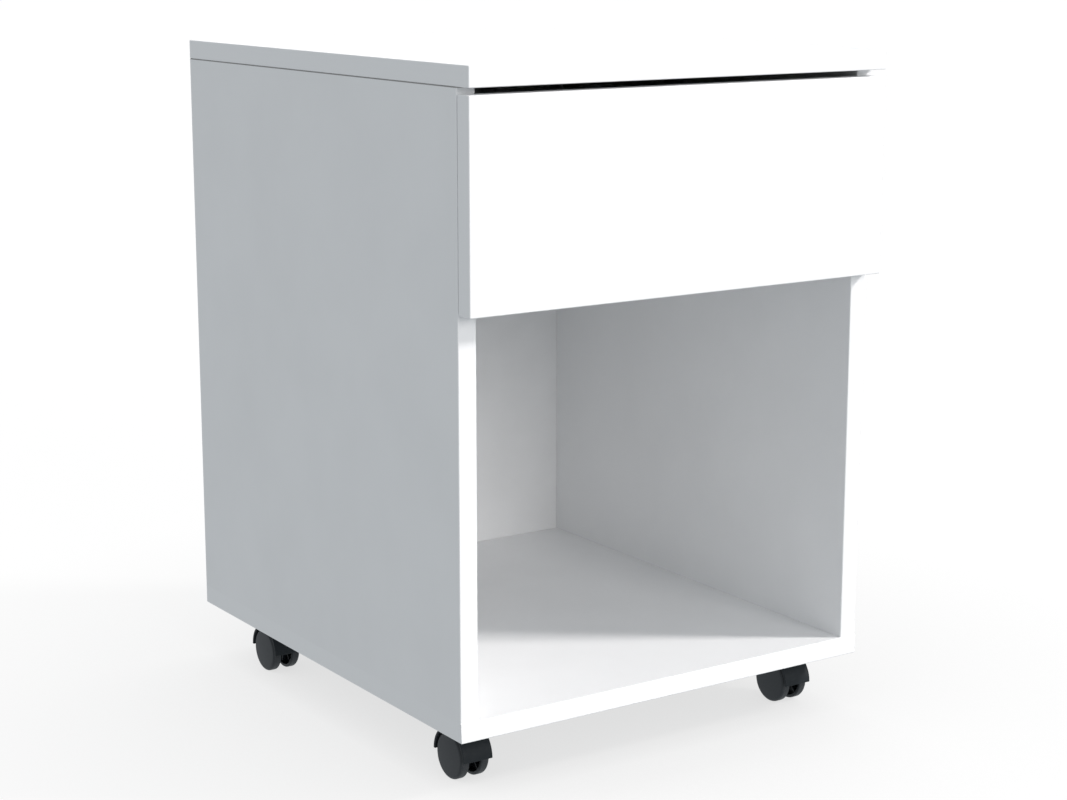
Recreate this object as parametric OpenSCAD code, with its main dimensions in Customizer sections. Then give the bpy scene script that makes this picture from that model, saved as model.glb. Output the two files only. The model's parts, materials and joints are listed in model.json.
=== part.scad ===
// Rolling pedestal cabinet: a board carcass with one drawer, an open file
// compartment under it and four hooded twin-wheel casters.
// Origin: on the floor, under the middle of the cabinet. +Z is up and the
// drawer opens towards -Y.

/* [Carcass] */
// Overall width
cabinet_w = 450; // [360:1:600]
// Overall depth, from the face of the drawer front to the rear edges
cabinet_d = 520; // [430:1:650]
// Height of the carcass, from the underside of the bottom board to the top
carcass_h = 580; // [480:1:720]
// Thickness of the coated boards
board_t = 18; // [15:0.5:24]
// How far the bottom board stands in front of the side boards
bottom_proud = 1.2; // [0:0.1:3]
// Thickness of the back panel
back_t = 3; // [2.5:0.5:6]
// Distance from the rear edges to the back panel
back_inset = 12; // [8:1:25]
// Depth of the grooves that hold the thin panels
groove_depth = 7; // [4:0.5:9]
// Play between a thin panel and its groove
groove_play = 0.2; // [0.1:0.05:0.4]

/* [Drawer] */
// Height of the drawer front
front_h = 182; // [150:1:240]
// Finger gap between the top board and the drawer front
finger_gap = 6; // [5:0.5:30]
// Gap behind the drawer front when the drawer is shut
shut_gap = 1; // [0.5:0.1:3]
// How far the drawer front hangs below the upper face of the divider
front_overlap = 20; // [12:1:30]
// Thickness of the boards of the drawer box
box_t = 16; // [15:0.5:19]
// Height of the drawer box
box_h = 130; // [100:1:150]
// Thickness of the drawer bottom
box_bottom_t = 3; // [2.5:0.5:6]
// Height of the groove for the drawer bottom above the lower edge of the box
box_groove_z = 10; // [8:1:16]
// Depth of the groove for the drawer bottom
box_groove_depth = 6; // [4:0.5:8]

/* [Runners] */
// Space between the drawer box and a side board
runner_gap = 12.5; // [12.5:0.1:16]
// Thickness of the runners' steel sheet
sheet_t = 1.2; // [1:0.1:1.5]
// Height inside the channel of the cabinet runner
channel_h = 22; // [20:0.5:24]
// Height of the runner's centre line above the divider
runner_rise = 16; // [15:0.5:30]
// Room behind the runners, in front of the back panel
runner_rear_room = 36; // [20:1:80]
// Length of runner that stays engaged when the drawer is fully open
runner_overlap = 120; // [90:1:200]
// Radius of the roller at the front of the cabinet runner
front_roller_r = 13; // [12.8:0.1:13.5]
// Width of a roller
roller_w = 7.5; // [6:0.1:7.5]
// Play above the drawer runner's roller in the channel
roller_play = 0.45; // [0.2:0.05:0.8]
// Radius of the stud that a roller turns on
stud_r = 2.5; // [2:0.1:3]

/* [Casters] */
// Height of a caster, from the floor to the bottom board
caster_h = 57; // [55:0.5:75]
// Radius of a caster wheel
wheel_r = 21.5; // [18:0.5:23]
// Width of a caster wheel
wheel_w = 9.4; // [8:0.1:14]
// Space between the two wheels of a caster
wheel_gap = 12.4; // [10.2:0.1:14]
// Space between a wheel's tread and the hood
hood_gap = 1.8; // [1:0.1:3]
// Wall of the hood
hood_t = 2.7; // [2:0.1:3.5]
// Distance from the swivel axis to the wheel axis
trail = 10; // [9:0.5:14]
// Distance from the side of the cabinet to the swivel axis
caster_side_inset = 40; // [40:1:80]
// Distance from the front edge of the side boards to the swivel axis
caster_front_inset = 71; // [50:1:140]
// Distance from the rear edges to the swivel axis
caster_rear_inset = 70; // [50:1:140]
// Side of the square mounting plate
plate_w = 42; // [38:1:46]
// Thickness of the mounting plate
plate_t = 2.5; // [2:0.1:3]
// Radius of the swivel pin
kingpin_r = 3; // [2.5:0.1:3]
// Radius of the wheel axle
axle_r = 2.5; // [2:0.1:2.5]

/* [Fits] */
// Radial clearance of a running fit
run_fit = 0.05; // [0.02:0.01:0.1]
// Radial clearance round a dowel, a bolt or a screw
hole_play = 0.1; // [0.05:0.05:0.3]

/* [Hidden] */
$fn = 64;
eps = 0.01;
CORNERS = ["fl", "fr", "rl", "rr"];

// Colours
WHITE = "white";
BOARD_BACK = "gainsboro";
TIMBER = "burlywood";
ZINC = "silver";
RUNNER = "whitesmoke";
NYLON = "ivory";
BLACK = "#2c2f33";

// Main planes of the carcass
half_w = cabinet_w / 2;
front_y = -cabinet_d / 2;
rear_y = cabinet_d / 2;
base_z = caster_h;
top_z = caster_h + carcass_h;
side_z0 = base_z + board_t;
side_z1 = top_z - board_t;
side_y0 = front_y + board_t + shut_gap;
inner_x = half_w - board_t;
board_mid_x = half_w - board_t / 2;
back_y1 = rear_y - back_inset;
back_y0 = back_y1 - back_t;

// Main planes of the drawer and the divider
front_z1 = side_z1 - finger_gap;
front_z0 = front_z1 - front_h;
box_y0 = front_y + board_t;
divider_z1 = front_z0 + front_overlap;
divider_z0 = divider_z1 - board_t;
divider_mid_z = divider_z1 - board_t / 2;

// Runners: the centre line of the channel and what hangs on it
runner_z = divider_z1 + runner_rise;
runner_y0 = side_y0;
runner_y1 = back_y0 - runner_rear_room;
travel = runner_y1 - runner_y0 - runner_overlap;
rear_roller_r = (channel_h - roller_play) / 2 - run_fit / 2;
rear_roller_z = runner_z - channel_h / 2 + run_fit + rear_roller_r;
track_z = runner_z + front_roller_r + run_fit;
front_roller_y = runner_y0 + front_roller_r + 2;
rear_roller_y = runner_y1 - rear_roller_r - 1;

// Drawer box
box_x = inner_x - runner_gap;
box_in_x = box_x - box_t;
box_mid_x = box_x - box_t / 2;
box_z0 = runner_z - front_roller_r + sheet_t;
box_z1 = box_z0 + box_h;
box_y1 = runner_y1;
box_floor_z0 = box_z0 + box_groove_z;
box_floor_z1 = box_floor_z0 + box_bottom_t;

// Dowels, cam locks and screws
dowel_r = 4;
dowel_in_edge = 19;
dowel_in_face = 11;
cam_r = 7.5;
cam_h = 12.5;
cam_edge = 24;
bolt_r = 2.5;
bolt_head_r = 3.4;
bolt_head_h = 3;
bolt_thread_r = 3;
bolt_thread_l = 11;
cam_cavity_r = 4.7;
cam_slot_r = 3;
joint_edge = 50;
dowel_pitch = 32;
// Depth positions of the joints between the boards
joint_ys = [side_y0 + joint_edge, back_y0 - joint_edge];
dowel_ys = [joint_ys[0] + dowel_pitch, joint_ys[1] - dowel_pitch];
// Confirmat screws that hold the bottom board to the side boards
confirmat_r = 3.5;
confirmat_head_r = 5;
confirmat_l = 50;
confirmat_ys = [joint_ys[0], (joint_ys[0] + joint_ys[1]) / 2, joint_ys[1]];
// Small countersunk and pan-head screws
screw_r = 1.75;
screw_head_r = 3.4;
runner_screw_l = 15;
runner_screw_edge = 45;
runner_screw_ys = [
    runner_y0 + runner_screw_edge,
    (runner_y0 + runner_y1) / 2,
    runner_y1 - runner_screw_edge
];
pan_head_h = 1.6;

// Cam joints of the drawer front, and screws of the drawer back
front_joint_zs = [box_z0 + 35, box_z1 - 25];
front_dowel_z = (front_joint_zs[0] + front_joint_zs[1]) / 2;
back_screw_zs = [box_z0 + 45, box_z1 - 25];
back_screw_l = 38;
nail_r = 0.7;
nail_l = 14;
nail_xs = [-box_in_x * 0.8, -box_in_x * 0.27, box_in_x * 0.27, box_in_x * 0.8];

// Casters
hood_r0 = wheel_r + hood_gap;
hood_r1 = hood_r0 + hood_t;
hood_w = 2 * wheel_w + wheel_gap - 0.8;
web_gap = 0.4;
web_w = wheel_gap - 2 * web_gap;
web_t = 3;
socket_z0 = -4;
washer_t = 1.5;
washer_r = 7.5;
plate_z0 = caster_h - plate_t;
washer_z0 = plate_z0 - washer_t;
boss_top = washer_z0 - run_fit - wheel_r;
plate_corner_r = 5;
ring_t = 1;
ring_r = 4.5;
ring_z0 = wheel_r + socket_z0 - 0.3 - ring_t;
ring_groove = 0.8;
kingpin_head_r = 5;
kingpin_head_h = 1.2;
plate_hole = plate_w / 2 - 6;
plate_screw_l = 15;
axle_in_wheel = wheel_w - 2.6;
disc_t = 2.2;
rim_t = 3;
shoulder = 3;
crown = 0.7;
hub_r = 5;
rib_t = 1.2;
rib_count = 6;
caster_x = half_w - caster_side_inset;
caster_y_front = side_y0 + caster_front_inset;
caster_y_rear = rear_y - caster_rear_inset;

// Swivel axis of a corner's caster
function caster_pos(i) = [
    (i % 2 == 0 ? -1 : 1) * caster_x,
    i < 2 ? caster_y_front : caster_y_rear,
    0
];

// Box between two opposite corners
module block(lo, hi) {
    translate(lo) cube(hi - lo);
}

// Draws its children at +X, and mirrored for the left side
module on_side(side) {
    mirror([side < 0 ? 1 : 0, 0, 0]) children();
}

// Cylinder along +X or -X, starting at the origin
module along_x(r, l) {
    rotate([0, l < 0 ? -90 : 90, 0]) cylinder(r = r, h = abs(l));
}

// Cylinder along +Y or -Y, starting at the origin
module along_y(r, l) {
    rotate([l < 0 ? 90 : -90, 0, 0]) cylinder(r = r, h = abs(l));
}

// Cross recess for a screwdriver, cut down from the origin
module cross_recess(size, depth) {
    for (turn = [0, 90])
        rotate([0, 0, turn])
            translate([-size / 2, -size / 8, -depth])
                cube([size, size / 4, depth + eps]);
}

// Countersunk screw: the flat of its head is at the origin, it points down
module flat_screw(head_r, shank_r, l) {
    head_h = head_r - shank_r;
    difference() {
        union() {
            translate([0, 0, -head_h]) cylinder(r1 = shank_r, r2 = head_r, h = head_h);
            translate([0, 0, -l]) cylinder(r = shank_r, h = l - head_h);
        }
        cross_recess(head_r * 1.1, head_h * 0.7);
    }
}

// The hole that a countersunk screw needs
module flat_screw_hole(head_r, shank_r, l) {
    head_h = head_r - shank_r;
    translate([0, 0, -head_h])
        cylinder(r1 = shank_r + hole_play, r2 = head_r + hole_play, h = head_h + eps);
    translate([0, 0, -l - hole_play]) cylinder(r = shank_r + hole_play, h = l);
}

// Pan-head screw: the underside of its head is at the origin, it points down
module pan_screw(head_r, head_h, shank_r, l) {
    difference() {
        union() {
            cylinder(r1 = head_r, r2 = head_r * 0.7, h = head_h);
            translate([0, 0, -l]) cylinder(r = shank_r, h = l + eps);
        }
        translate([0, 0, head_h]) cross_recess(head_r * 1.1, head_h * 0.7);
    }
}

// Cam lock: its face is at the origin, it sits below, its mouth is towards +Y
// and as deep as the middle of the board that holds it
module cam_lock(mouth_z) {
    difference() {
        translate([0, 0, -cam_h]) cylinder(r = cam_r, h = cam_h);
        cross_recess(cam_r * 1.2, 2.5);
        translate([0, 0, -mouth_z]) {
            sphere(r = cam_cavity_r);
            along_y(cam_slot_r, cam_r + 1);
        }
    }
}

// Cam bolt along +Y: its head is inside the cam, its collar is where the
// boards meet, and its thread goes on into the second board
module cam_bolt() {
    along_y(bolt_head_r, bolt_head_h);
    translate([0, bolt_head_h - eps, 0]) along_y(bolt_r, cam_edge - bolt_head_h + eps);
    translate([0, cam_edge - eps, 0]) along_y(bolt_thread_r, bolt_thread_l);
}

// Bores of a cam joint in the first board, in the cam's own frame
module cam_bores(mouth_z) {
    translate([0, 0, -cam_h - hole_play]) cylinder(r = cam_r + hole_play, h = cam_h + 1);
    translate([0, 0, -mouth_z]) along_y(bolt_head_r + hole_play, cam_edge + 1);
}

// Puts children where the cams of the carcass are, each in the cam's frame:
// under the top board, and under the ends of the divider
module at_top_cams() {
    for (y = joint_ys)
        translate([inner_x, y, side_z1 - cam_edge])
            rotate([0, -90, 0]) rotate([0, 0, -90]) children();
}

module at_divider_cams() {
    for (y = joint_ys)
        translate([inner_x - cam_edge, y, divider_z0])
            rotate([180, 0, 0]) rotate([0, 0, -90]) children();
}

// Puts children where the dowels of the carcass start, pointing along +Z
module at_top_dowels() {
    for (y = dowel_ys) translate([board_mid_x, y, side_z1]) children();
}

module at_base_dowels() {
    for (y = dowel_ys) translate([board_mid_x, y, side_z0]) mirror([0, 0, 1]) children();
}

module at_divider_dowels() {
    for (y = dowel_ys) translate([inner_x, y, divider_mid_z]) rotate([0, 90, 0]) children();
}

// A dowel across a joint: it goes down into the edge and up into the face
module dowel() {
    translate([0, 0, -dowel_in_edge]) cylinder(r = dowel_r, h = dowel_in_edge + dowel_in_face);
}

module dowel_hole_in_edge() {
    translate([0, 0, -dowel_in_edge]) cylinder(r = dowel_r + hole_play, h = dowel_in_edge + 1);
}

module dowel_hole_in_face() {
    translate([0, 0, -1]) cylinder(r = dowel_r + hole_play, h = dowel_in_face + 1 + 0.5);
}

// Where a cam bolt's thread enters the second board, in the cam's frame
module bolt_thread_hole(mouth_z) {
    translate([0, cam_edge - 1, -mouth_z])
        along_y(bolt_thread_r + hole_play, bolt_thread_l + 1.5);
}

// Groove for the back panel, cut out to the depth of the groove
module back_groove() {
    reach = groove_depth;
    block(
        [-inner_x - reach, back_y0 - groove_play, side_z0 - reach],
        [inner_x + reach, back_y1 + groove_play, side_z1 + reach]
    );
}

module top_panel() {
    color(WHITE) difference() {
        block([-half_w, front_y, side_z1], [half_w, rear_y, top_z]);
        back_groove();
        for (side = [-1, 1]) on_side(side) {
            at_top_cams() bolt_thread_hole(board_t / 2);
            at_top_dowels() dowel_hole_in_face();
        }
    }
}

module bottom_panel() {
    color(WHITE) difference() {
        block([-half_w, side_y0 - bottom_proud, base_z], [half_w, rear_y, side_z0]);
        back_groove();
        for (side = [-1, 1]) on_side(side) {
            at_base_dowels() dowel_hole_in_face();
            at_confirmats() flat_screw_hole(confirmat_head_r, confirmat_r, confirmat_l);
        }
        at_plate_screws() translate([0, 0, eps]) plate_screw_hole();
    }
}

// Puts children at the confirmat screws' heads, pointing up into the sides
module at_confirmats() {
    for (y = confirmat_ys)
        translate([board_mid_x, y, base_z]) mirror([0, 0, 1]) children();
}

module side_panel(side) {
    color(WHITE) on_side(side) difference() {
        block([inner_x, side_y0, side_z0], [half_w, rear_y, side_z1]);
        back_groove();
        at_top_cams() cam_bores(board_t / 2);
        at_top_dowels() dowel_hole_in_edge();
        at_base_dowels() dowel_hole_in_edge();
        at_divider_cams() bolt_thread_hole(board_t / 2);
        at_divider_dowels() dowel_hole_in_face();
        at_confirmats() flat_screw_hole(confirmat_head_r, confirmat_r, confirmat_l);
        at_cabinet_runner_screws() flat_screw_hole(screw_head_r, screw_r, runner_screw_l);
    }
}

module divider_shelf() {
    color(WHITE) difference() {
        block([-inner_x, side_y0, divider_z0], [inner_x, back_y0 - groove_play, divider_z1]);
        for (side = [-1, 1]) on_side(side) {
            at_divider_cams() cam_bores(board_t / 2);
            at_divider_dowels() dowel_hole_in_edge();
        }
    }
}

module back_panel() {
    reach = groove_depth - groove_play;
    color(BOARD_BACK) block(
        [-inner_x - reach, back_y0, side_z0 - groove_depth],
        [inner_x + reach, back_y1, side_z1 + reach]
    );
}

module carcass_dowels() {
    color(TIMBER) for (side = [-1, 1]) on_side(side) {
        at_top_dowels() dowel();
        at_base_dowels() dowel();
        at_divider_dowels() dowel();
    }
}

module carcass_cam_locks() {
    color(ZINC) for (side = [-1, 1]) on_side(side) {
        at_top_cams() cam_lock(board_t / 2);
        at_divider_cams() cam_lock(board_t / 2);
    }
}

module carcass_cam_bolts() {
    color(ZINC) for (side = [-1, 1]) on_side(side) {
        at_top_cams() translate([0, 0, -board_t / 2]) cam_bolt();
        at_divider_cams() translate([0, 0, -board_t / 2]) cam_bolt();
    }
}

module base_screws() {
    color(ZINC) for (side = [-1, 1]) on_side(side)
        at_confirmats() flat_screw(confirmat_head_r, confirmat_r, confirmat_l);
}

// ---- Runners -------------------------------------------------------------

// Faces across the gap between a side board and the drawer box
web_x1 = inner_x;
web_x0 = inner_x - sheet_t;
drawer_web_x0 = box_x;
drawer_web_x1 = box_x + sheet_t;
stud_head_t = 1;
stud_head_r = stud_r + 1.7;
stud_play = 0.2;
// The front roller sits against the cabinet runner's web
front_roller_x1 = web_x0 - stud_play * 2;
front_roller_x0 = front_roller_x1 - roller_w;
// The rear roller sits against the drawer runner's web
rear_roller_x0 = drawer_web_x1 + stud_play * 2;
rear_roller_x1 = rear_roller_x0 + roller_w;
flange_x = drawer_web_x1 + 1.3;
track_x = web_x0 - 1.3;
// The stop that catches the rear roller when the drawer is open
stop_h = 4;
stop_reach = sqrt(pow(rear_roller_r, 2) - pow(rear_roller_r - stop_h, 2));
stop_y = rear_roller_y - travel - stop_reach - 1.5;

// Puts children at the cabinet runner's screws, pointing into the side board
module at_cabinet_runner_screws() {
    for (y = runner_screw_ys)
        translate([web_x0, y, runner_z]) rotate([0, -90, 0]) children();
}

// Puts children at the drawer runner's screws, pointing up into the drawer
module at_drawer_runner_screws() {
    for (y = runner_screw_ys)
        translate([box_mid_x, y, box_z0 - sheet_t]) mirror([0, 0, 1]) children();
}

module cabinet_runner(side) {
    flange_y0 = front_roller_y + front_roller_r + 2;
    low = runner_z - channel_h / 2;
    high = runner_z + channel_h / 2;
    color(RUNNER) on_side(side) difference() {
        union() {
            block([web_x0, runner_y0, low - sheet_t], [web_x1, runner_y1, high + sheet_t]);
            block([flange_x, flange_y0, low - sheet_t], [web_x1, runner_y1, low]);
            block([flange_x, flange_y0, high], [web_x1, runner_y1, high + sheet_t]);
            block([flange_x, stop_y - sheet_t, low - eps], [web_x1, stop_y, low + stop_h]);
        }
        at_cabinet_runner_screws() flat_screw_hole(screw_head_r, screw_r, runner_screw_l);
        translate([web_x0 - 1, front_roller_y, runner_z]) along_x(stud_r, sheet_t + 2);
    }
}

module drawer_runner(side) {
    low = box_z0 - sheet_t;
    color(RUNNER) on_side(side) difference() {
        union() {
            block([drawer_web_x0, runner_y0, low], [drawer_web_x1, runner_y1, track_z + sheet_t]);
            block([drawer_web_x0, runner_y0, track_z], [track_x, runner_y1, track_z + sheet_t]);
            block([box_in_x + 1, runner_y0, low], [drawer_web_x1, runner_y1, box_z0]);
        }
        at_drawer_runner_screws() translate([0, 0, -5]) cylinder(r = screw_r + hole_play, h = 10);
        translate([box_x - 1, rear_roller_y, rear_roller_z]) along_x(stud_r, sheet_t + 2);
    }
}

module cabinet_runner_screws() {
    color(ZINC) for (side = [-1, 1]) on_side(side)
        at_cabinet_runner_screws() flat_screw(screw_head_r, screw_r, runner_screw_l);
}

module drawer_runner_screws() {
    color(ZINC) for (side = [-1, 1]) on_side(side)
        at_drawer_runner_screws() pan_screw(screw_head_r, pan_head_h, screw_r, runner_screw_l);
}

// Studs of the front rollers, riveted into the cabinet runners
module front_roller_studs() {
    color(ZINC) for (side = [-1, 1]) on_side(side)
        translate([0, front_roller_y, runner_z]) {
            translate([web_x1, 0, 0])
                along_x(stud_r, front_roller_x0 - stud_play - web_x1 - eps);
            translate([front_roller_x0 - stud_play, 0, 0]) along_x(stud_head_r, -stud_head_t);
        }
}

// Studs of the rear rollers, riveted into the drawer runners
module rear_roller_studs() {
    color(ZINC) for (side = [-1, 1]) on_side(side)
        translate([0, rear_roller_y, rear_roller_z]) {
            translate([drawer_web_x0, 0, 0])
                along_x(stud_r, rear_roller_x1 + stud_play - drawer_web_x0 + eps);
            translate([rear_roller_x1 + stud_play, 0, 0]) along_x(stud_head_r, stud_head_t);
        }
}

// Nylon roller along +X from the origin, with bevelled rims
module roller(r) {
    bevel = 0.8;
    rotate([0, 90, 0]) difference() {
        rotate_extrude($fn = 96) polygon([
            [0, 0], [r - bevel, 0], [r, bevel], [r, roller_w - bevel], [r - bevel, roller_w], [0, roller_w]
        ]);
        translate([0, 0, -1]) cylinder(r = stud_r + run_fit, h = roller_w + 2);
    }
}

module front_roller(side) {
    color(NYLON) on_side(side)
        translate([front_roller_x0, front_roller_y, runner_z]) roller(front_roller_r);
}

module rear_roller(side) {
    color(NYLON) on_side(side)
        translate([rear_roller_x0, rear_roller_y, rear_roller_z]) roller(rear_roller_r);
}

// ---- Drawer --------------------------------------------------------------

// Puts children at the cams that hold the drawer sides to the front
module at_drawer_cams() {
    for (z = front_joint_zs)
        translate([box_in_x, box_y0 + cam_edge, z])
            rotate([0, -90, 0]) rotate([0, 0, 180]) children();
}

module at_drawer_dowels() {
    translate([box_mid_x, box_y0, front_dowel_z]) rotate([90, 0, 0]) children();
}

module at_drawer_back_screws() {
    for (z = back_screw_zs)
        translate([box_x, box_y1 - box_t / 2, z]) rotate([0, 90, 0]) children();
}

module at_nails() {
    for (x = nail_xs)
        translate([x, box_y1 - box_t / 2, box_floor_z0]) mirror([0, 0, 1]) children();
}

// Groove round the drawer box for its bottom
module box_groove() {
    reach = box_groove_depth;
    block(
        [-box_in_x - reach, box_y0 - reach, box_floor_z0 - groove_play],
        [box_in_x + reach, box_y1 + 1, box_floor_z1 + groove_play]
    );
}

module drawer_front() {
    color(WHITE) difference() {
        block([-half_w, front_y, front_z0], [half_w, box_y0, front_z1]);
        box_groove();
        for (side = [-1, 1]) on_side(side) {
            at_drawer_cams() bolt_thread_hole(box_t / 2);
            at_drawer_dowels() dowel_hole_in_face();
        }
    }
}

module drawer_side(side) {
    color(WHITE) on_side(side) difference() {
        block([box_in_x, box_y0, box_z0], [box_x, box_y1, box_z1]);
        box_groove();
        at_drawer_cams() cam_bores(box_t / 2);
        at_drawer_dowels() dowel_hole_in_edge();
        at_drawer_back_screws() flat_screw_hole(screw_head_r, screw_r, back_screw_l);
        at_drawer_runner_screws() translate([0, 0, -runner_screw_l - hole_play])
            cylinder(r = screw_r + hole_play, h = runner_screw_l);
    }
}

module drawer_back() {
    color(WHITE) difference() {
        block([-box_in_x, box_y1 - box_t, box_floor_z1], [box_in_x, box_y1, box_z1]);
        for (side = [-1, 1]) on_side(side)
            at_drawer_back_screws() flat_screw_hole(screw_head_r, screw_r, back_screw_l);
        at_nails() nail_hole();
    }
}

module drawer_bottom() {
    reach = box_groove_depth - groove_play;
    color(BOARD_BACK) difference() {
        block([-box_in_x - reach, box_y0 - reach, box_floor_z0], [box_in_x + reach, box_y1, box_floor_z1]);
        at_nails() nail_hole();
    }
}

// Flat-headed nail: the underside of its head is at the origin
module nail() {
    cylinder(r = nail_r * 2.6, h = 0.8);
    translate([0, 0, -nail_l]) cylinder(r = nail_r, h = nail_l + eps);
}

module nail_hole() {
    translate([0, 0, -nail_l - hole_play]) cylinder(r = nail_r + hole_play, h = nail_l + 1);
}

module drawer_bottom_nails() {
    color(ZINC) at_nails() nail();
}

module drawer_dowels() {
    color(TIMBER) for (side = [-1, 1]) on_side(side) at_drawer_dowels() dowel();
}

module drawer_cam_locks() {
    color(ZINC) for (side = [-1, 1]) on_side(side) at_drawer_cams() cam_lock(box_t / 2);
}

module drawer_cam_bolts() {
    color(ZINC) for (side = [-1, 1]) on_side(side)
        at_drawer_cams() translate([0, 0, -box_t / 2]) cam_bolt();
}

module drawer_back_screws() {
    color(ZINC) for (side = [-1, 1]) on_side(side)
        at_drawer_back_screws() flat_screw(screw_head_r, screw_r, back_screw_l);
}

// ---- Casters -------------------------------------------------------------

module at_casters() {
    for (i = [0:3]) translate(caster_pos(i)) children();
}

// Puts children at the heads of one plate's screws, pointing up
module at_holes_of_plate() {
    for (sx = [-1, 1], sy = [-1, 1])
        translate([sx * plate_hole, sy * plate_hole, plate_z0]) mirror([0, 0, 1]) children();
}

module at_plate_screws() {
    at_casters() at_holes_of_plate() children();
}

module plate_screw_hole() {
    translate([0, 0, -plate_screw_l - hole_play]) cylinder(r = screw_r + hole_play, h = plate_screw_l + 1);
}

// Square plate with round corners, made of plain rectangles and circles
module rounded_plate(w, r, t) {
    linear_extrude(t) {
        square([w - 2 * r, w], center = true);
        square([w, w - 2 * r], center = true);
        for (sx = [-1, 1], sy = [-1, 1])
            translate([sx * (w / 2 - r), sy * (w / 2 - r)]) circle(r = r);
    }
}

// Mounting plate with a counterbore for the head of the swivel pin
module caster_plate(i) {
    color(ZINC) translate(caster_pos(i)) difference() {
        translate([0, 0, plate_z0]) rounded_plate(plate_w, plate_corner_r, plate_t);
        translate([0, 0, plate_z0 - 1]) cylinder(r = kingpin_r, h = plate_t + 2);
        translate([0, 0, caster_h - kingpin_head_h]) cylinder(r = kingpin_head_r, h = kingpin_head_h + 1);
        at_holes_of_plate() translate([0, 0, eps]) plate_screw_hole();
    }
}

module caster_screws() {
    color(ZINC) at_plate_screws() pan_screw(screw_head_r, pan_head_h + 0.4, screw_r, plate_screw_l);
}

// Swivel pin: a flat head in the plate, and a groove for the retaining ring
module kingpin(i) {
    tip_z = ring_z0 - 1;
    color(ZINC) translate(caster_pos(i)) difference() {
        union() {
            translate([0, 0, tip_z]) cylinder(r = kingpin_r, h = caster_h - kingpin_head_h - tip_z + eps);
            translate([0, 0, caster_h - kingpin_head_h]) cylinder(r = kingpin_head_r, h = kingpin_head_h);
        }
        translate([0, 0, ring_z0]) difference() {
            cylinder(r = kingpin_r + 1, h = ring_t);
            translate([0, 0, -1]) cylinder(r = kingpin_r - ring_groove, h = ring_t + 2);
        }
    }
}

module retaining_rings() {
    color(ZINC) at_casters() translate([0, 0, ring_z0]) difference() {
        cylinder(r = ring_r, h = ring_t);
        translate([0, 0, -1]) cylinder(r = kingpin_r - ring_groove, h = ring_t + 2);
        translate([0, -1, -1]) cube([ring_r + 1, 2, ring_t + 2]);
    }
}

module swivel_washers() {
    color(NYLON) at_casters() translate([0, 0, washer_z0]) difference() {
        cylinder(r = washer_r, h = washer_t);
        translate([0, 0, -1]) cylinder(r = kingpin_r + hole_play, h = washer_t + 2);
    }
}

// Draws its children at the wheel axis of a corner's caster
module at_axle(i) {
    translate(caster_pos(i) + [0, -trail, wheel_r]) children();
}

// Hood over both wheels, in the frame of the wheel axis: a half-round
// mudguard, a web between the wheels, and the sockets of both pins
module hood() {
    difference() {
        union() {
            rotate([90, 0, 90]) linear_extrude(hood_w, center = true) difference() {
                circle(r = hood_r1, $fn = 128);
                circle(r = hood_r0, $fn = 128);
                translate([-2 * hood_r1, -4 * hood_r1]) square(4 * hood_r1);
            }
            rotate([90, 0, 90]) linear_extrude(web_t, center = true) intersection() {
                circle(r = hood_r0 + hood_t / 2, $fn = 128);
                polygon([
                    [-hood_r1, 6], [-hub_r, socket_z0], [trail + web_w / 2, socket_z0],
                    [hood_r1, 3], [hood_r1, hood_r1], [-hood_r1, hood_r1]
                ]);
            }
            translate([-web_w / 2, 0, 0]) along_x(web_w / 2, web_w);
            translate([0, trail, socket_z0]) cylinder(r = web_w / 2, h = boss_top - socket_z0);
            difference() {
                translate([0, trail, hood_r0 / 2]) cylinder(r = washer_r, h = boss_top - hood_r0 / 2);
                translate([-hood_w, 0, 0]) along_x(hood_r0 + hood_t / 2, 2 * hood_w);
            }
        }
        translate([0, trail, socket_z0 - 1]) cylinder(r = kingpin_r + run_fit, h = boss_top - socket_z0 + 2);
        translate([-web_w, 0, 0]) along_x(axle_r, 2 * web_w);
    }
}

module caster_hood(i) {
    color(BLACK) at_axle(i) hood();
}

module caster_axle(i) {
    l = wheel_gap + 2 * axle_in_wheel;
    color(ZINC) at_axle(i) translate([-l / 2, 0, 0]) along_x(axle_r, l);
}

// How far out the face of a wheel stands at a radius
function face_at(r) = wheel_w - crown * pow(r / wheel_r, 2);

// Wheel along +X from its inner face: a moulded cup with a closed, slightly
// domed face, a rim with round shoulders, a hub and ribs
module wheel() {
    arc = [0:15:90];
    face = [for (k = [0:7]) [k / 8 * (wheel_r - shoulder), face_at(k / 8 * (wheel_r - shoulder))]];
    outer = [for (a = arc) [
        wheel_r - shoulder + shoulder * sin(a),
        face_at(wheel_r - shoulder) - shoulder * (1 - cos(a))
    ]];
    lip = 1.2;
    inner = [for (a = arc) [
        wheel_r - lip + lip * cos(a),
        lip * (1 - sin(a))
    ]];
    rotate([90, 0, 90]) {
        rotate_extrude($fn = 128) polygon(concat(
            face, outer, inner,
            [
                [wheel_r - rim_t, 0],
                [wheel_r - rim_t, wheel_w - crown - disc_t],
                [hub_r, wheel_w - disc_t - 0.1],
                [hub_r, 0],
                [axle_r + run_fit, 0],
                [axle_r + run_fit, axle_in_wheel + 0.2],
                [0, axle_in_wheel + 0.2]
            ]
        ));
        for (k = [0:rib_count - 1])
            rotate([0, 0, k * 360 / rib_count])
                translate([hub_r - 0.5, -rib_t / 2, 1.5])
                    cube([wheel_r - rim_t - hub_r + 1, rib_t, wheel_w - crown - disc_t - 1]);
    }
}

// One wheel of a corner's caster; side is -1 or +1 along X
module caster_wheel(i, side) {
    color(BLACK) at_axle(i)
        mirror([side < 0 ? 1 : 0, 0, 0]) translate([wheel_gap / 2, 0, 0]) wheel();
}

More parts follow.
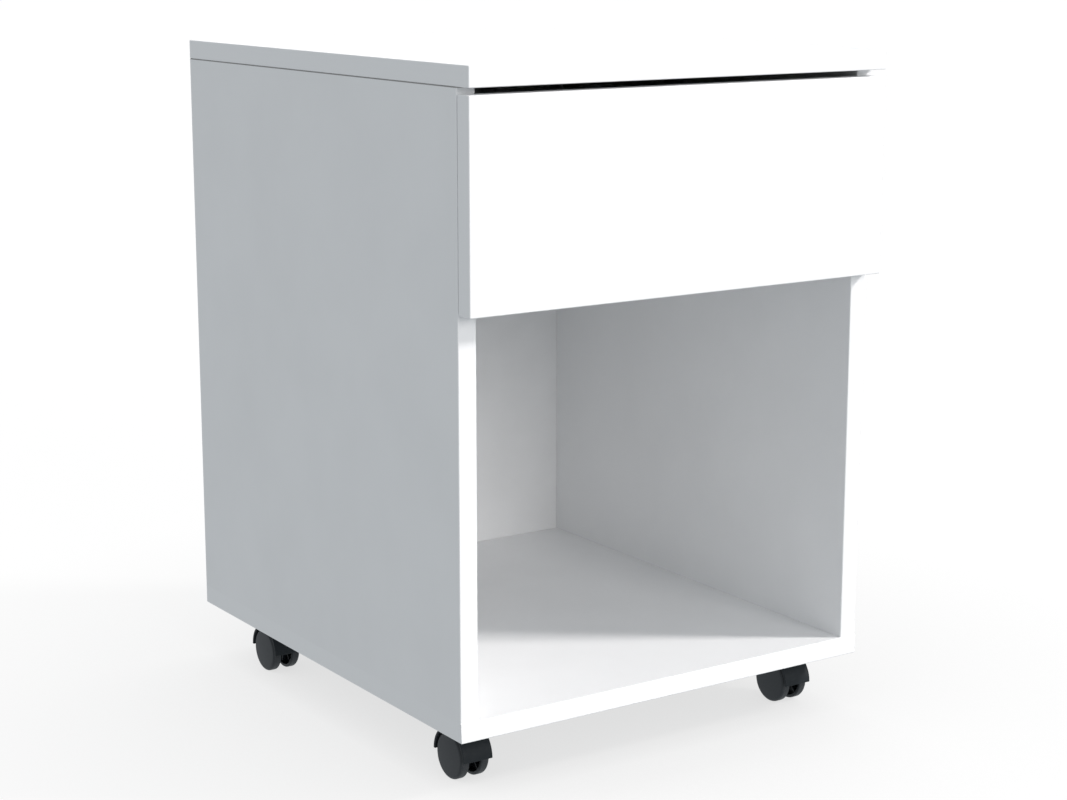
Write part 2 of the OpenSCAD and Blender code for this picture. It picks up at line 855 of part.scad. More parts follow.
top_panel();
bottom_panel();
side_panel(-1);  // side_panel_left
side_panel(1);  // side_panel_right
divider_shelf();
back_panel();
carcass_dowels();
carcass_cam_locks();
carcass_cam_bolts();
base_screws();
cabinet_runner(-1);  // cabinet_runner_left
cabinet_runner(1);  // cabinet_runner_right
cabinet_runner_screws();
front_roller_studs();
front_roller(-1);  // front_roller_left
front_roller(1);  // front_roller_right
drawer_front();
drawer_side(-1);  // drawer_side_left
drawer_side(1);  // drawer_side_right
drawer_back();
drawer_bottom();
drawer_dowels();
drawer_cam_locks();
drawer_cam_bolts();
drawer_back_screws();
drawer_bottom_nails();
drawer_runner(-1);  // drawer_runner_left
drawer_runner(1);  // drawer_runner_right
drawer_runner_screws();
rear_roller_studs();
rear_roller(-1);  // rear_roller_left
rear_roller(1);  // rear_roller_right
caster_screws();
swivel_washers();
retaining_rings();
for (i = [0:3]) {
    caster_plate(i);
    kingpin(i);
    caster_hood(i);
    caster_axle(i);
    caster_wheel(i, -1);
    caster_wheel(i, 1);
}
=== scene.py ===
# %% [markdown]
# # A rolling pedestal cabinet
#
# The cabinet is a carcass of white coated boards on four small casters, with a drawer over an
# open compartment. Its exact parts are already drawn, so this lesson doesn't draw them again.
# It loads them as a fixed frame and gives each part what a drawing leaves out: eased edges,
# edge banding, real screw heads, turned wheels, and finishes with their own grain and wear.

# %% Load the frame
import json
import math

import bmesh
import bpy
from mathutils import Matrix, Vector


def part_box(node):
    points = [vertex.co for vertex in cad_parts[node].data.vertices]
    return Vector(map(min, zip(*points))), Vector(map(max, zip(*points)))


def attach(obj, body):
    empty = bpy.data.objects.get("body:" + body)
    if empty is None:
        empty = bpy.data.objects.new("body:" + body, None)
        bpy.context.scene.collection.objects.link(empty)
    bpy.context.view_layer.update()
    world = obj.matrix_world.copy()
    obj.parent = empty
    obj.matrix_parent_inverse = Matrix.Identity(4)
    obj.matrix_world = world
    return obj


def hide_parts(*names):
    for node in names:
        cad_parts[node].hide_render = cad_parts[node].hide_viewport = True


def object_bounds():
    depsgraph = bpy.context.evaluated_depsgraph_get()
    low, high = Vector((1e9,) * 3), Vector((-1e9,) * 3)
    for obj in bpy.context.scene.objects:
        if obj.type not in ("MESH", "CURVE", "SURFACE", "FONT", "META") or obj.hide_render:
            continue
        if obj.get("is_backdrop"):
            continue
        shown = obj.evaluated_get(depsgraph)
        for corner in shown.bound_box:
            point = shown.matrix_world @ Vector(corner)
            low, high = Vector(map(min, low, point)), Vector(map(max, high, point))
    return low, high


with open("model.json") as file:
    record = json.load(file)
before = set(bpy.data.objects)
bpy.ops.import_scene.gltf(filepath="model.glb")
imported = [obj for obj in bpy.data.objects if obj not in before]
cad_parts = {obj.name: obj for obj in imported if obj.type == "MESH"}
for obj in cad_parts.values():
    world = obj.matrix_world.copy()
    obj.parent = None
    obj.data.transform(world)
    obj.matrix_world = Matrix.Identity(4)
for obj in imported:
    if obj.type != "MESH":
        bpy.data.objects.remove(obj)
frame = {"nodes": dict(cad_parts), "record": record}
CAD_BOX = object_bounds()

NODES = frame["nodes"]
RECORD = frame["record"]
BODY_OF = {node: body for body, members in RECORD["behaviour"]["bodies"].items() for node in members}
SLOT_OF = {part["node"]: part["material_slot"] for part in RECORD["subparts"]}
MM = 0.001
print(f"outer box: {[round(side / MM) for side in CAD_BOX[1] - CAD_BOX[0]]} mm")

# %% [markdown]
# ## Camera
#
# The camera stands in front and to the left, a little above the top board. A long lens keeps
# the upright edges nearly parallel, as in a furniture catalogue. Turning the camera by two
# angles, and never by a third, keeps the horizon level.

# %% Camera
CAMERA_PLACE = (-1.1782, -1.7776, 0.7413)
CAMERA_TURN = 33.797
CAMERA_TILT = 11.911
CAMERA_LENS = 74.79
CAMERA_SENSOR = 36
camera_data = bpy.data.cameras.new("camera")
camera_data.lens = CAMERA_LENS
camera_data.sensor_width = CAMERA_SENSOR
camera = bpy.data.objects.new("camera", camera_data)
camera.location = CAMERA_PLACE
camera.rotation_euler = (math.radians(90 - CAMERA_TILT), 0, math.radians(-CAMERA_TURN))
bpy.context.scene.collection.objects.link(camera)
bpy.context.scene.camera = camera
print(f"camera: {CAMERA_LENS} mm lens, turned {CAMERA_TURN} and tilted {CAMERA_TILT} degrees")

# %% [markdown]
# ## Writing node trees as sums
#
# A finish and a geometry tree are both made of nodes. Placing and linking every node by hand
# hides the idea behind it, so two small classes do that work. A `Signal` is the output of a
# node, and arithmetic on it adds Math nodes. A `Graph` adds any other node: first its
# settings, then what goes into its sockets. The same two classes serve both kinds of tree.

# %% Signal and Graph
class Signal:
    """The output of a node. Arithmetic on it adds Math nodes to its tree."""

    def __init__(self, graph, socket):
        self.graph = graph
        self.socket = socket

    def math(self, operation, *others):
        inputs = dict(enumerate((self, *others)))
        return self.graph.node("ShaderNodeMath", {"operation": operation}, inputs)

    def __add__(self, other):
        return self.math("ADD", other)

    def __sub__(self, other):
        return self.math("SUBTRACT", other)

    def __mul__(self, other):
        return self.math("MULTIPLY", other)

    def __truediv__(self, other):
        return self.math("DIVIDE", other)

    __radd__ = __add__


class Graph:
    """A node tree to add nodes to."""

    def __init__(self, tree):
        self.tree = tree

    def node(self, kind, settings=None, inputs=None, output=0):
        """Adds a node and returns one of its outputs."""
        made = self.tree.nodes.new(kind)
        for name, value in (settings or {}).items():
            if name == "stops":
                self.set_stops(made.color_ramp, value)
            else:
                setattr(made, name, value)
        for name, value in (inputs or {}).items():
            self.feed(made.inputs[name], value)
        return Signal(self, made.outputs[output])

    def feed(self, socket, value):
        """Links a signal to a socket, or sets the socket's own value."""
        if isinstance(value, Signal):
            self.tree.links.new(value.socket, socket)
        else:
            socket.default_value = value

    def set_stops(self, ramp, stops):
        """Gives a colour ramp its stops: (position, grey level) pairs."""
        for element, (position, level) in zip(ramp.elements, stops):
            element.position = position
            element.color = (level, level, level, 1)


print("node helpers: Signal and Graph")

# %% [markdown]
# ## A finish
#
# Every finish here starts from one Principled shader and the object's own coordinates, so a
# pattern stays on its part when the part moves. What is the same all over is set on the shader
# itself. Only colour, roughness and the bump that bends the normal change over the surface.

# %% Finish
class Finish(Graph):
    """A material with one Principled shader, built up by feeding its sockets."""

    def __init__(self, name, constants):
        self.material = bpy.data.materials.new(name)
        self.material.use_nodes = True
        super().__init__(self.material.node_tree)
        self.tree.nodes.clear()
        self.shader = self.tree.nodes.new("ShaderNodeBsdfPrincipled")
        surface = self.tree.nodes.new("ShaderNodeOutputMaterial").inputs["Surface"]
        self.tree.links.new(self.shader.outputs[0], surface)
        self.place = self.node("ShaderNodeTexCoord", output="Object")
        for socket, value in constants.items():
            self.shader.inputs[socket].default_value = value

    def noise(self, size, detail=2.0, stretch=(1, 1, 1)):
        """Soft noise from 0 to 1, with lumps of about `size` metres, stretched along the axes."""
        scale = tuple(1 / (size * along) for along in stretch)
        settings = {"operation": "MULTIPLY"}
        place = self.node("ShaderNodeVectorMath", settings, {0: self.place, 1: scale})
        inputs = {"Vector": place, "Scale": 1.0, "Detail": detail}
        return self.node("ShaderNodeTexNoise", None, inputs)

    def cells(self, size):
        """Cells of about `size` metres, each with a random colour."""
        inputs = {"Vector": self.place, "Scale": 1 / size}
        return self.node("ShaderNodeTexVoronoi", None, inputs, "Color")

    def contrast(self, signal, low, high):
        """Spreads the part of a signal from low to high over 0 to 1."""
        return self.node("ShaderNodeValToRGB", {"stops": [(low, 0), (high, 1)]}, {"Fac": signal})

    def blend(self, factor, first, second):
        """Mixes two colours."""
        settings = {"data_type": "RGBA"}
        return self.node("ShaderNodeMix", settings, {0: factor, 6: first, 7: second}, output=2)

    def paint(self, color, roughness):
        """Feeds the shader's colour and roughness, which may change over the surface."""
        self.feed(self.shader.inputs["Base Color"], color)
        self.feed(self.shader.inputs["Roughness"], roughness)

    def emboss(self, height, depth):
        """Bends the normal as if the surface rose by `depth` metres where the height is 1."""
        inputs = {"Height": height, "Distance": depth, "Strength": 1.0}
        self.feed(self.shader.inputs["Normal"], self.node("ShaderNodeBump", None, inputs))


def grey(level, warmth=0.0):
    """A near-grey colour. A positive warmth lifts red and lowers blue."""
    return (level * (1 + warmth), level, level * (1 - warmth), 1)


print("finish helper: one Principled shader on object coordinates")

# %% [markdown]
# ## Board finishes
#
# The boards are chipboard with a white melamine skin. The skin is pressed against a textured
# plate, which leaves a fine orange peel, and handling leaves soft marks that show as a change
# of gloss. The narrow edges carry plastic edge banding, which is a little smoother. Inside the
# bores and grooves the bare chipboard shows its flakes. In the joint where the sides meet the
# top board, the small radius wears a dark grey skin: painted shade for the shadow in that joint.

# %% Board finishes
COOL = -0.01


def melamine_finish():
    finish = Finish("white_melamine", {"IOR": 1.5})
    peel = finish.noise(0.7 * MM, detail=1.0)
    handled = finish.contrast(finish.noise(90 * MM, detail=4.0), 0.35, 0.75)
    finish.paint(
        color=finish.blend(handled, grey(0.86, COOL), grey(0.835, COOL)),
        roughness=0.36 + handled * 0.12 + peel * 0.05,
    )
    finish.emboss(peel, 0.012 * MM)
    return finish.material


def edge_band_finish():
    finish = Finish("edge_banding", {"IOR": 1.5})
    scraped = finish.noise(1.2 * MM, detail=2.0)
    finish.paint(
        color=finish.blend(scraped, grey(0.87, COOL), grey(0.85, COOL)),
        roughness=0.3 + scraped * 0.12,
    )
    finish.emboss(scraped, 0.01 * MM)
    return finish.material


def chipboard_finish():
    finish = Finish("bare_chipboard", {"Specular IOR Level": 0.2})
    flakes = finish.cells(1.6 * MM)
    dark = finish.contrast(finish.noise(0.8 * MM), 0.4, 0.7)
    tan = finish.blend(flakes, (0.52, 0.34, 0.18, 1), (0.68, 0.51, 0.31, 1))
    finish.paint(color=finish.blend(dark * 0.5, tan, (0.24, 0.14, 0.07, 1)), roughness=0.9)
    finish.emboss(dark, 0.1 * MM)
    return finish.material


def hardboard_finish():
    finish = Finish("lacquered_hardboard", {"IOR": 1.45})
    fibres = finish.noise(1.1 * MM, detail=3.0, stretch=(1, 1, 3))
    worn = finish.contrast(finish.noise(60 * MM, detail=3.0), 0.4, 0.8)
    finish.paint(
        color=finish.blend(worn, grey(0.8, COOL), grey(0.76, COOL)),
        roughness=0.5 + fibres * 0.2,
    )
    finish.emboss(fibres, 0.03 * MM)
    return finish.material


# Painted shade: a mottled dark grey that stands in for the shadow in the joint where the sides meet
# the top.
def joint_shade_finish():
    finish = Finish("glue_line", {"Specular IOR Level": 0.3})
    joint_mottle = finish.noise(2 * MM, detail=3.0)
    finish.paint(color=finish.blend(joint_mottle, grey(0.26), grey(0.4, 0.02)), roughness=0.6 + joint_mottle * 0.2)
    finish.emboss(joint_mottle, 0.05 * MM)
    return finish.material


# The fourth skin is the painted joint shade.
MELAMINE, BANDING, CHIPBOARD, JOINT_SHADE = range(4)
BOARD_SKINS = [melamine_finish(), edge_band_finish(), chipboard_finish(), joint_shade_finish()]
HARDBOARD = hardboard_finish()
print("board finishes:", [skin.name for skin in BOARD_SKINS] + [HARDBOARD.name])

# %% [markdown]
# ## Finishes of the fittings
#
# Zinc plating is bright but never even: it has a soft cloudy pattern and fine rub marks. Cast
# zinc is duller, with a grainy skin. The runners wear white epoxy powder, which dries in low
# waves. Nylon is milky, because light enters it a little way. Beech shows short dark flecks.

# %% Fitting finishes
def zinc_steel_finish():
    finish = Finish("zinc_plated_steel", {"Metallic": 1.0})
    cloud = finish.noise(3 * MM, detail=3.0)
    rubbed = finish.noise(0.5 * MM, detail=2.0, stretch=(1, 6, 1))
    finish.paint(
        color=finish.blend(cloud, (0.62, 0.64, 0.67, 1), (0.74, 0.73, 0.7, 1)),
        roughness=0.26 + cloud * 0.1 + rubbed * 0.08,
    )
    finish.emboss(rubbed, 0.008 * MM)
    return finish.material


def cast_zinc_finish():
    finish = Finish("die_cast_zinc", {"Metallic": 1.0})
    grain = finish.noise(0.45 * MM, detail=3.0)
    cloud = finish.noise(4 * MM, detail=2.0)
    finish.paint(
        color=finish.blend(cloud, (0.44, 0.45, 0.46, 1), (0.56, 0.56, 0.57, 1)),
        roughness=0.42 + grain * 0.14,
    )
    finish.emboss(grain, 0.03 * MM)
    return finish.material


def powder_coat_finish():
    finish = Finish("white_powder_coat", {"IOR": 1.5})
    waves = finish.noise(1.8 * MM, detail=1.5)
    rubbed = finish.contrast(finish.noise(5 * MM, detail=3.0, stretch=(1, 8, 1)), 0.55, 0.8)
    finish.paint(
        color=finish.blend(rubbed, grey(0.84), grey(0.74, 0.01)),
        roughness=0.28 + waves * 0.1 + rubbed * 0.1,
    )
    finish.emboss(waves, 0.03 * MM)
    return finish.material


def nylon_finish():
    constants = {"Subsurface Weight": 0.2, "Subsurface Scale": 0.002, "IOR": 1.53}
    finish = Finish("natural_nylon", constants)
    scuffs = finish.contrast(finish.noise(1.2 * MM, detail=3.0), 0.5, 0.8)
    finish.paint(
        color=finish.blend(scuffs, (0.83, 0.81, 0.75, 1), (0.68, 0.66, 0.6, 1)),
        roughness=0.38 + scuffs * 0.2,
    )
    finish.emboss(scuffs, 0.01 * MM)
    return finish.material


def beech_finish():
    finish = Finish("beech", {"Specular IOR Level": 0.3})
    flecks = finish.contrast(finish.noise(0.5 * MM, detail=2.0, stretch=(1, 1, 5)), 0.5, 0.7)
    finish.paint(
        color=finish.blend(flecks, (0.66, 0.47, 0.28, 1), (0.45, 0.28, 0.15, 1)),
        roughness=0.7,
    )
    finish.emboss(flecks, 0.05 * MM)
    return finish.material


ZINC_STEEL = zinc_steel_finish()
CAST_ZINC = cast_zinc_finish()
POWDER_COAT = powder_coat_finish()
NYLON = nylon_finish()
BEECH = beech_finish()
print("fitting finishes:", [m.name for m in (ZINC_STEEL, CAST_ZINC, POWDER_COAT, NYLON, BEECH)])

# %% [markdown]
# ## Finishes of the casters
#
# The hoods and wheels are moulded in one black plastic. The hood's mould was spark-eroded,
# so it has an even fine grain. The wheels are smoother, and their treads pick up grey scuffs.
# The scuffs follow an attribute called `tread`, which is 1 on the running surface.

# %% Caster finishes
def hood_finish():
    finish = Finish("grained_black_plastic", {"IOR": 1.48, "Specular IOR Level": 0.25})
    grain = finish.noise(0.35 * MM, detail=2.0)
    worn = finish.contrast(finish.noise(7 * MM, detail=3.0), 0.45, 0.8)
    finish.paint(
        color=finish.blend(worn, (0.009, 0.0125, 0.0155, 1), (0.013, 0.017, 0.02, 1)),
        roughness=0.46 + grain * 0.14,
    )
    finish.emboss(grain, 0.03 * MM)
    return finish.material


def wheel_finish():
    finish = Finish("smooth_black_plastic", {"IOR": 1.5, "Specular IOR Level": 0.35})
    tread = finish.node("ShaderNodeAttribute", {"attribute_name": "tread"}, output="Fac")
    scuffed = tread * finish.contrast(finish.noise(0.9 * MM, detail=4.0), 0.42, 0.75)
    flow = finish.noise(6 * MM, detail=2.0)
    black = finish.blend(flow, (0.017, 0.02, 0.024, 1), (0.022, 0.026, 0.03, 1))
    finish.paint(
        color=finish.blend(scuffed * 0.3, black, grey(0.12, 0.02)),
        roughness=0.36 + flow * 0.1 + scuffed * 0.3,
    )
    finish.emboss(finish.noise(0.6 * MM), 0.012 * MM)
    return finish.material


HOOD_PLASTIC = hood_finish()
WHEEL_PLASTIC = wheel_finish()
print("caster finishes:", HOOD_PLASTIC.name, "and", WHEEL_PLASTIC.name)

# %% [markdown]
# ## Mesh helpers
#
# A part comes from the frame as loose triangles. A copy of it is first welded, and its flat
# faces are joined, so that edges can be picked and eased. Wide flat faces next to small round
# ones shade badly, because the shading normals tilt at the rounding. Weighting the normals by
# face area keeps the flats flat and lets only the small faces curve.

# %% Mesh helpers
SAME_PLACE = 0.001 * MM
NEARLY_FLAT = 0.002
SHARP = math.radians(38)


def welded(node):
    """A bmesh of a part, its loose triangles merged and its flat faces joined."""
    work = bmesh.new()
    work.from_mesh(NODES[node].data)
    bmesh.ops.remove_doubles(work, verts=work.verts, dist=SAME_PLACE)
    bmesh.ops.dissolve_limit(work, angle_limit=NEARLY_FLAT, verts=work.verts, edges=work.edges)
    return work


def to_mesh(work, name):
    """Turns a bmesh into a mesh and frees it."""
    mesh = bpy.data.meshes.new(name)
    work.to_mesh(mesh)
    work.free()
    return mesh


def settled(mesh, modifiers):
    """The mesh as it is after the modifiers, given as (kind, settings) pairs."""
    holder = bpy.data.objects.new("holder", mesh)
    bpy.context.scene.collection.objects.link(holder)
    for kind, settings in modifiers:
        modifier = holder.modifiers.new(kind.lower(), kind)
        for name, value in settings.items():
            setattr(modifier, name, value)
    depsgraph = bpy.context.evaluated_depsgraph_get()
    result = bpy.data.meshes.new_from_object(holder.evaluated_get(depsgraph))
    bpy.data.objects.remove(holder)
    return result


def combined(mesh, tool, operation):
    """The mesh after a boolean operation with the tool mesh."""
    helper = bpy.data.objects.new("tool", tool)
    bpy.context.scene.collection.objects.link(helper)
    helper.hide_render = True
    settings = {"operation": operation, "solver": "EXACT", "object": helper}
    result = settled(mesh, [("BOOLEAN", settings)])
    bpy.data.objects.remove(helper)
    return result


def ease(work, edges, width, steps, clamped=False):
    """Gives edges a small round radius, held back in tight places if it is clamped."""
    shape = {"offset": width, "segments": steps, "profile": 0.5, "clamp_overlap": clamped}
    bmesh.ops.bevel(work, geom=edges, affect="EDGES", **shape)


def finely_shaded(mesh):
    """Smooth shading with crisp corners, its normals weighted by face area."""
    mesh.shade_smooth()
    mesh.set_sharp_from_angle(angle=SHARP)
    return settled(mesh, [("WEIGHTED_NORMAL", {"keep_sharp": True})])


def make_piece(name, mesh, finishes, node):
    """Puts a finished mesh in place of a part, on that part's body."""
    mesh.name = name
    mesh.materials.clear()
    for finish in finishes:
        mesh.materials.append(finish)
    piece = bpy.data.objects.new(name, mesh)
    bpy.context.scene.collection.objects.link(piece)
    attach(piece, BODY_OF[node])
    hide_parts(node)


print("mesh helpers: welded, settled, combined, ease, finely_shaded, make_piece")

# %% [markdown]
# ## A slab with eased edges
#
# Edge banding is a strip about a millimetre thick, glued on and then scraped to a small radius.
# Only the edges that will show are banded, so each board lists its banded sides. An edge is
# eased where a banded side meets a face or another banded side. Two boards that lie flush have
# no radius where they meet, so such a pair of sides can be left out.

# %% Rounded slab
BAND_RADIUS = 0.9 * MM
BAND_STEPS = 4
CUT_SPARE = 0.01 * MM
ALONG_AXIS = 0.999


def side_of(normal):
    """The side that a face looks to, such as "+x", or "" for a slanted face."""
    for axis, along in zip("xyz", normal):
        if abs(along) > ALONG_AXIS:
            return ("+" if along > 0 else "-") + axis
    return ""


def thin_axis(size):
    """The axis across a board."""
    return "xyz"[min(range(3), key=lambda i: size[i])]


def rounded_slab(low, high, banded, flush):
    """A slab with its banded edges eased. A side without banding gets a little spare."""
    low = low.copy()
    high = high.copy()
    across = thin_axis(high - low)
    shown = {"-" + across, "+" + across, *banded}
    for i, axis in enumerate("xyz"):
        low[i] -= 0 if "-" + axis in shown else CUT_SPARE
        high[i] += 0 if "+" + axis in shown else CUT_SPARE
    work = bmesh.new()
    place = Matrix.Translation((low + high) / 2) @ Matrix.Diagonal((*(high - low), 1))
    bmesh.ops.create_cube(work, size=1, matrix=place)
    eased = []
    for edge in work.edges:
        sides = {side_of(face.normal) for face in edge.link_faces}
        if sides & set(banded) and sides <= shown and sides not in flush:
            eased.append(edge)
    ease(work, eased, BAND_RADIUS, BAND_STEPS)
    return to_mesh(work, "slab")


print(f"rounded slab: {BAND_RADIUS / MM} mm radius")

# %% [markdown]
# ## Which skin a face wears
#
# A face at the thin limit of a board is melamine, and one at a banded side is banding. All the
# others were cut after the board was made, so they show bare chipboard. The small slanted faces
# of a radius belong to the banding, or, next to a joint with another board, to the painted
# joint shade: a dark grey that stands in for the shadow there.

# %% Board skins
FLUSH = SAME_PLACE * 10


def sides_near(point, low, high):
    """The sides of a box that a point is close to."""
    near = set()
    for sign, corner in (("-", low), ("+", high)):
        for i, axis in enumerate("xyz"):
            if abs(point[i] - corner[i]) < BAND_RADIUS:
                near.add(sign + axis)
    return near


def skin_of_flat(side, point, low, high, banded):
    """The skin of a face that looks along an axis."""
    i = "xyz".index(side[1])
    limit = low[i] if side[0] == "-" else high[i]
    if abs(point[i] - limit) >= FLUSH:
        return CHIPBOARD
    if side[1] == thin_axis(high - low):
        return MELAMINE
    return BANDING if side in banded else CHIPBOARD


def skin_of(polygon, low, high, banded, shaded_joint_sides):
    """The skin that a face of a board wears."""
    side = side_of(polygon.normal)
    if side:
        return skin_of_flat(side, polygon.center, low, high, banded)
    near = sides_near(polygon.center, low, high)
    # A radius next to a joint wears the painted joint shade.
    if near & set(shaded_joint_sides):
        return JOINT_SHADE
    return BANDING if near & set(banded) and len(near) > 1 else CHIPBOARD


print("skins:", MELAMINE, BANDING, CHIPBOARD, JOINT_SHADE)

# %% [markdown]
# ## Carcass boards
#
# The drawn board already has its bores and grooves in the right places. So the finished board
# is what the slab and the drawn board have in common. The sides meet the top in a fine groove,
# whose radius wears painted joint shade, but they are trimmed flush where they meet the bottom.

# %% Carcass boards
def finish_board(node, banded, flush=(), shaded_joint_sides=()):
    """Replaces a drawn board by one with banded edges, eased apart from the pairs in `flush`."""
    low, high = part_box(node)
    slab = rounded_slab(low, high, banded, flush)
    mesh = finely_shaded(combined(slab, to_mesh(welded(node), "drawn"), "INTERSECT"))
    skins = [skin_of(polygon, low, high, banded, shaded_joint_sides) for polygon in mesh.polygons]
    make_piece(node + "_board", mesh, BOARD_SKINS, node)
    mesh.polygons.foreach_set("material_index", skins)
    print(f"{node}: banded {' '.join(banded)}, {len(skins)} faces")


finish_board("top_panel", ["-x", "+x", "-y", "+y"])
finish_board("bottom_panel", ["-x", "+x", "-y", "+y"], flush=[{"-x", "+z"}, {"+x", "+z"}])
# The radius at the top of each side wears painted joint shade.
finish_board("side_panel_left", ["-y", "+y", "+z"], shaded_joint_sides=["+z"])
finish_board("side_panel_right", ["-y", "+y", "+z"], shaded_joint_sides=["+z"])
finish_board("divider_shelf", ["-y"])

# %% [markdown]
# ## Drawer boards
#
# The drawer front is banded on all four narrow edges. The boards of the box are banded along
# the top, where a hand reaches over them, and its sides also along the bottom.

# %% Drawer boards
finish_board("drawer_front", ["-x", "+x", "-z", "+z"])
finish_board("drawer_side_left", ["-z", "+z"])
finish_board("drawer_side_right", ["-z", "+z"])
finish_board("drawer_back", ["+z"])

# %% [markdown]
# ## Sheet-metal runners
#
# The runners already have the right shape. They only lack the tiny radius that a folded sheet
# keeps along its folds, and without it an edge catches no light. The long edges are picked by
# their length, and bevelled on a welded copy.

# %% Softened runners
FOLD_RADIUS = 0.3 * MM
FOLD_STEPS = 2
LONG_EDGE = 60 * MM


def corner_edges(work, wanted):
    """Edges between faces at a clear angle, of which `wanted` is true for both ends."""
    found = []
    for edge in work.edges:
        clear = len(edge.link_faces) == 2 and edge.calc_face_angle(0) > SHARP
        if clear and wanted(edge.verts[0].co) and wanted(edge.verts[1].co):
            found.append(edge)
    return found


def soften(node, width, steps, pick, finish):
    """Replaces a part by a copy with small radii on the edges that `pick` returns."""
    work = welded(node)
    edges = pick(work)
    ease(work, edges, width, steps, clamped=True)
    bmesh.ops.recalc_face_normals(work, faces=work.faces)
    mesh = finely_shaded(to_mesh(work, node))
    make_piece(node + "_softened", mesh, [finish], node)
    print(f"{node}: {len(edges)} edges softened by {width / MM:.2f} mm")


def long_edges(work):
    """The fold lines and free edges of a runner, which run from front to back."""
    edges = corner_edges(work, lambda point: True)
    return [edge for edge in edges if edge.calc_length() > LONG_EDGE]


for side in ("left", "right"):
    soften(f"cabinet_runner_{side}", FOLD_RADIUS, FOLD_STEPS, long_edges, POWDER_COAT)
    soften(f"drawer_runner_{side}", FOLD_RADIUS, FOLD_STEPS, long_edges, POWDER_COAT)

# %% [markdown]
# ## Caster hoods and plates
#
# A moulded hood is rounded all along its two rims. A stamped mounting plate has a small radius
# round its outline on one side, and its holes are left alone. Both are picked by where the
# edges lie in the part's own box.

# %% Caster hoods and plates
CORNERS = ("fl", "fr", "rl", "rr")
MOULD_RADIUS = 0.7 * MM
MOULD_STEPS = 3
STAMP_RADIUS = 0.3 * MM
STAMP_STEPS = 2
PLATE_RIM = 3.5 * MM


def rim_picker(node):
    """Picks the edges of a part that lie on its outermost planes across X."""
    low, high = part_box(node)

    def at_rim(point):
        return min(abs(point.x - low.x), abs(point.x - high.x)) < FLUSH

    return lambda work: corner_edges(work, at_rim)


def plate_picker(node):
    """Picks the outline of a mounting plate, and leaves its holes alone."""
    low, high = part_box(node)
    middle = (low + high) / 2
    hole_reach = (high.x - low.x) / 2 - PLATE_RIM

    def at_outline(point):
        across = max(abs(point.x - middle.x), abs(point.y - middle.y))
        return across > hole_reach and point.z < middle.z

    return lambda work: corner_edges(work, at_outline)


for corner in CORNERS:
    hood = f"caster_hood_{corner}"
    plate = f"caster_plate_{corner}"
    soften(hood, MOULD_RADIUS, MOULD_STEPS, rim_picker(hood), HOOD_PLASTIC)
    soften(plate, STAMP_RADIUS, STAMP_STEPS, plate_picker(plate), ZINC_STEEL)

# %% [markdown]
# ## Turning on a lathe
#
# Wheels, rollers and screws are turned shapes: one half section, swept round an axis. Geometry
# Nodes can do this as a rule. The tree makes a plain grid, with one column for each step of
# the turn. Each grid point then looks up its place in the section, and the angle of its column
# swings it round. Welding closes the seam and the poles. The rule keeps the number of steps
# and the section apart, so a coarse screw and a fine wheel come from the same tree. Every tree
# ends in Realize Instances and Set Material, so what comes out is plain mesh with its finish.

# %% Turning tree
def new_tree(name, inlets):
    """A geometry node tree with named inputs, as (name, kind) pairs, and its input node."""
    tree = bpy.data.node_groups.new(name, "GeometryNodeTree")
    keys = {}
    for label, kind in inlets:
        socket = tree.interface.new_socket(name=label, in_out="INPUT", socket_type="NodeSocket" + kind)
        keys[label] = socket.identifier
    tree.interface.new_socket(name="Geometry", in_out="OUTPUT", socket_type="NodeSocketGeometry")
    graph = Graph(tree)
    source = tree.nodes.new("NodeGroupInput")
    graph.inlet = {label: Signal(graph, source.outputs[label]) for label, _ in inlets}
    return graph, keys


def close_tree(graph, geometry, finish):
    """Ends a tree in Realize Instances and Set Material."""
    real = graph.node("GeometryNodeRealizeInstances", None, {0: geometry})
    smooth = graph.node("GeometryNodeSetShadeSmooth", None, {0: real})
    done = graph.node("GeometryNodeSetMaterial", None, {"Geometry": smooth, "Material": finish})
    graph.feed(graph.tree.nodes.new("NodeGroupOutput").inputs[0], done)


def turning_tree():
    """Sweeps the section, a line of points in the XZ plane, round the Z axis."""
    inlets = [("Section", "Geometry"), ("Steps", "Int"), ("Finish", "Material")]
    graph, keys = new_tree("turning", inlets)
    section = graph.inlet["Section"]
    steps = graph.inlet["Steps"]
    count = graph.node("GeometryNodeAttributeDomainSize", None, {0: section})
    size = {"Vertices X": steps + 1, "Vertices Y": count}
    grid = graph.node("GeometryNodeMeshGrid", None, size)
    index = graph.node("GeometryNodeInputIndex")
    column = ((index + 0.5) / count).math("FLOOR")
    inputs = {
        "Geometry": section,
        "Value": graph.node("GeometryNodeInputPosition"),
        "Index": index - column * count,
    }
    point = graph.node("GeometryNodeSampleIndex", {"data_type": "FLOAT_VECTOR"}, inputs)
    radius = graph.node("ShaderNodeSeparateXYZ", None, {0: point}, output="X")
    height = graph.node("ShaderNodeSeparateXYZ", None, {0: point}, output="Z")
    angle = column / steps * math.tau
    inputs = {"X": radius * angle.math("COSINE"), "Y": radius * angle.math("SINE"), "Z": height}
    place = graph.node("ShaderNodeCombineXYZ", None, inputs)
    turned = graph.node("GeometryNodeSetPosition", None, {"Geometry": grid, "Position": place})
    inputs = {"Geometry": turned, "Distance": SAME_PLACE}
    joined = graph.node("GeometryNodeMergeByDistance", None, inputs)
    close_tree(graph, joined, graph.inlet["Finish"])
    return graph.tree, keys


TURNING, TURNING_KEYS = turning_tree()
print(f"turning tree: {len(TURNING.nodes)} nodes")

# %% [markdown]
# ## Using a tree
#
# A tree only works as a modifier. So the start mesh gets a helper object for a moment, its
# inputs are set by their identifiers, and the result is copied out as a plain mesh.

